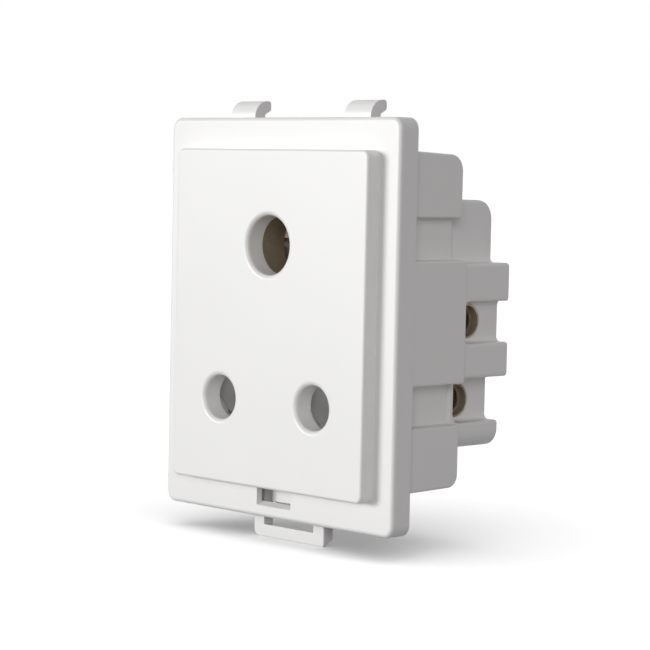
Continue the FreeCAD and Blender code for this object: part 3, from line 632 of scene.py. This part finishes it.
class SOCKET_OT_grip_rings(bpy.types.Operator):
    """Bends the split rings that press the slotted sleeves onto the pins."""

    bl_idname = "socket.grip_rings"
    bl_label = "Grip rings"

    thickness: FloatProperty(
        name="Thickness", description="Thickness of the rings' strip", unit="LENGTH", default=0.6 * MM)
    opening: FloatProperty(
        name="Opening", description="Width of the rings' split", unit="LENGTH", default=1.2 * MM)

    def execute(self, context):
        tree = ring_tree()
        # Lays the ring on its side, round Y, with its split at the top.
        turn = Matrix.Rotation(-QUARTER_TURN, 4, "X") @ Matrix.Rotation(-QUARTER_TURN, 4, "Z")
        for side in SIDES:
            node = side + "_grip_ring"
            low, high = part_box(node)
            centre, size = (low + high) / 2, high - low
            radius = (size.x - self.thickness) / 2
            values = {"Radius": radius, "Thickness": self.thickness, "Width": size.y,
                      "Opening": self.opening / radius, "Finish": spring_steel()}
            # The split takes the ring's top away, so its centre is found from its lowest point.
            ring_centre = low.z + size.x / 2
            ring = grow(node + "_strip", tree, values, turn, (centre.x, low.y, ring_centre))
            smooth(ring)
            seat(ring, node, "socket")
        return {"FINISHED"}


class SOCKET_OT_terminal_screws(bpy.types.Operator):
    """Cuts the threaded, slotted screws of the three terminals."""

    bl_idname = "socket.terminal_screws"
    bl_label = "Terminal screws"

    def execute(self, context):
        settings = context.scene.socket_screws
        tree = screw_tree()
        coat = darkened_steel()
        head = settings.slot_depth * settings.terminal_end
        for side in SIDES:
            node = side + "_terminal_screw"
            low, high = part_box(node)
            centre, size = (low + high) / 2, high - low
            radius = size.z / 2
            outward = 1 if centre.x > 0 else -1
            values = {"Radius": radius, "Thread": settings.terminal_depth,
                      "Pitch": settings.terminal_pitch, "Length": size.x - head,
                      "Head Radius": radius, "Head Height": head,
                      "Slot Width": settings.slot_width, "Slot Depth": settings.slot_depth,
                      "Finish": coat}
            turn = (Matrix.Rotation(math.radians(SLOT_TURNS[side]), 4, "X")
                    @ Matrix.Rotation(outward * QUARTER_TURN, 4, "Y"))
            tip = low.x if outward > 0 else high.x
            screw = grow(side + "_clamp_screw", tree, values, turn, (tip, centre.y, centre.z))
            smooth(screw)
            seat(screw, node, side + "_screw")
        return {"FINISHED"}


class SOCKET_OT_cover_screws(bpy.types.Operator):
    """Cuts the self-tapping screws that hold the cover from behind."""

    bl_idname = "socket.cover_screws"
    bl_label = "Cover screws"

    head_height: FloatProperty(
        name="Head height", description="Height of the screws' heads", unit="LENGTH", default=1.2 * MM)
    shank: FloatProperty(
        name="Shank radius", description="Outer radius of the screws' thread",
        unit="LENGTH", default=1.0 * MM)
    slot_width: FloatProperty(
        name="Slot width", description="Width of the driver slots", unit="LENGTH", default=0.5 * MM)
    slot_depth: FloatProperty(
        name="Slot depth", description="Depth of the driver slots", unit="LENGTH", default=0.6 * MM)

    def execute(self, context):
        settings = context.scene.socket_screws
        tree = screw_tree()
        coat = zinc_plating()
        turn = Matrix.Rotation(-QUARTER_TURN, 4, "X")
        for place in ("upper", "lower"):
            node = "cover_screw_" + place
            low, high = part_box(node)
            centre, size = (low + high) / 2, high - low
            values = {"Radius": self.shank, "Thread": settings.cover_depth,
                      "Pitch": settings.cover_pitch, "Length": size.y - self.head_height,
                      "Head Radius": size.x / 2, "Head Height": self.head_height,
                      "Slot Width": self.slot_width, "Slot Depth": self.slot_depth, "Finish": coat}
            screw = grow(node + "_tapping", tree, values, turn, (centre.x, low.y, centre.z))
            smooth(screw)
            seat(screw, node, "socket")
        return {"FINISHED"}


def direction(azimuth, elevation):
    """Unit vector from the object, turned to the right of its front and raised above the horizon."""
    level = math.cos(elevation)
    return Vector((math.sin(azimuth) * level, -math.cos(azimuth) * level, math.sin(elevation)))


def seen_rays(tree):
    """One for rays from the camera, in reflections and through glass, none for light on the object."""
    path = add(tree, "ShaderNodeLightPath").outputs
    mirrored = add(tree, "ShaderNodeMath", {0: path["Is Camera Ray"], 1: path["Is Glossy Ray"]},
                   operation="MAXIMUM")
    return add(tree, "ShaderNodeMath", {0: mirrored, 1: path["Is Transmission Ray"]},
               operation="MAXIMUM")


def studio_floor(settings, height):
    """Wide matt floor, white to the camera and in reflections, which keeps the shadow and throws back
    less light."""
    reach = settings.floor_reach
    mesh = bpy.data.meshes.new("studio_floor")
    corners = [(-reach, -reach, height), (reach, -reach, height),
               (reach, reach, height), (-reach, reach, height)]
    mesh.from_pydata(corners, [], [(0, 1, 2, 3)])
    floor = bpy.data.objects.new("studio_floor", mesh)
    bpy.context.scene.collection.objects.link(floor)
    made, tree, shader = material("matt_studio_paper")
    plug(tree, shader, {"Base Color": settings.floor_bounce, "Roughness": 1.0,
                        "Specular IOR Level": 0.0})
    paper = add(tree, "ShaderNodeBsdfDiffuse", {"Color": settings.floor})
    glow = add(tree, "ShaderNodeEmission", {"Color": settings.floor, "Strength": settings.floor_glow})
    shown = add(tree, "ShaderNodeAddShader", {0: paper, 1: glow})
    both = add(tree, "ShaderNodeMixShader", {0: seen_rays(tree), 1: shader, 2: shown})
    plug(tree, tree.nodes["Material Output"], {"Surface": both})
    mesh.materials.append(made)
    return floor


def studio_world(settings):
    """White to the camera and in reflections, an even pale grey as light."""
    world = bpy.data.worlds.new("studio")
    world.use_nodes = True
    tree = world.node_tree
    tree.nodes.clear()
    strength = add(tree, "ShaderNodeMapRange", {"Value": seen_rays(tree), "To Min": settings.surround,
                                                "To Max": 1.0})
    glow = add(tree, "ShaderNodeBackground", {"Color": (1, 1, 1, 1), "Strength": strength})
    add(tree, "ShaderNodeOutputWorld", {"Surface": glow})
    bpy.context.scene.world = world


def lamp(settings, name, floor, on_floor):
    """Broad distant light, as from a large soft box, that falls on the floor alone or on all but it."""
    data = bpy.data.lights.new(name, "SUN")
    data.energy = getattr(settings, name)
    data.angle = getattr(settings, name + "_spread")
    made = bpy.data.objects.new(name, data)
    source = direction(getattr(settings, name + "_azimuth"), getattr(settings, name + "_elevation"))
    made.rotation_euler = source.to_track_quat("Z", "Y").to_euler()
    bpy.context.scene.collection.objects.link(made)
    reached = bpy.data.collections.new(name + "_reach")
    reached.objects.link(floor)
    reached.collection_objects[0].light_linking.link_state = "INCLUDE" if on_floor else "EXCLUDE"
    made.light_linking.receiver_collection = reached
    return data


def photograph_camera(settings):
    """Camera at the photograph's viewpoint, worked out from its angles, distance and aim."""
    back = direction(settings.azimuth, settings.elevation)
    right = Vector((math.cos(settings.azimuth), math.sin(settings.azimuth), 0))
    up = back.cross(right)
    aim = Vector((settings.aim_right, settings.aim_back, settings.aim_up))
    turned = Matrix((right, up, back)).transposed() @ Matrix.Rotation(settings.roll, 3, "Z")
    data = bpy.data.cameras.new("photograph")
    data.lens = settings.lens
    data.sensor_width = SENSOR_WIDTH
    camera = bpy.data.objects.new("photograph", data)
    camera.matrix_world = Matrix.Translation(aim + back * settings.distance) @ turned.to_4x4()
    bpy.context.scene.collection.objects.link(camera)
    bpy.context.scene.camera = camera


class SOCKET_OT_stage(bpy.types.Operator):
    """Sets the floor, the lamps, the surround and the photograph's camera."""

    bl_idname = "socket.stage"
    bl_label = "Studio"

    def execute(self, context):
        settings = context.scene.socket_stage
        lowest = frame_box[0][2]
        floor = studio_floor(settings, lowest)
        studio_world(settings)
        # In the photograph the light falls on the front, yet the floor's shadow lies right under the
        # object, so three lamps miss the floor and the wash lights the floor alone.
        lamp(settings, "key", floor, on_floor=False)
        fill = lamp(settings, "fill", floor, on_floor=False)
        fill.color = settings.fill_colour
        lamp(settings, "top", floor, on_floor=False)
        lamp(settings, "wash", floor, on_floor=True)
        photograph_camera(settings)
        context.scene.view_settings.view_transform = "Standard"
        return {"FINISHED"}


class SOCKET_PT_build(bpy.types.Panel):
    """Lists the socket's pieces in the sidebar."""

    bl_label = "Three-pin socket"
    bl_idname = "SOCKET_PT_build"
    bl_space_type = "VIEW_3D"
    bl_region_type = "UI"
    bl_category = "Socket"

    def draw(self, context):
        column = self.layout.column()
        for operator in OPERATORS:
            column.operator(operator.bl_idname)
        for name, group in SETTINGS:
            box = self.layout.box()
            box.label(text=group.__doc__)
            for key in group.__annotations__:
                box.prop(getattr(context.scene, name), key)


OPERATORS = (SOCKET_OT_mouldings, SOCKET_OT_contacts, SOCKET_OT_springs, SOCKET_OT_grip_rings,
             SOCKET_OT_terminal_screws, SOCKET_OT_cover_screws, SOCKET_OT_stage)
SETTINGS = (("socket_finish", FinishSettings), ("socket_springs", SpringSettings),
            ("socket_screws", ScrewSettings), ("socket_stage", StageSettings))


def register():
    """Makes the settings, the operators and the panel known."""
    for name, group in SETTINGS:
        bpy.utils.register_class(group)
        setattr(bpy.types.Scene, name, PointerProperty(type=group))
    for operator in OPERATORS:
        bpy.utils.register_class(operator)
    bpy.utils.register_class(SOCKET_PT_build)


def unregister():
    """Takes the panel, the operators and the settings away again."""
    bpy.utils.unregister_class(SOCKET_PT_build)
    for operator in reversed(OPERATORS):
        bpy.utils.unregister_class(operator)
    for name, group in reversed(SETTINGS):
        delattr(bpy.types.Scene, name)
        bpy.utils.unregister_class(group)


def main():
    """Builds the pieces and the studio in order."""
    register()
    for operator in OPERATORS:
        group, name = operator.bl_idname.split(".")
        getattr(getattr(bpy.ops, group), name)()


if __name__ == "__main__":
    main()
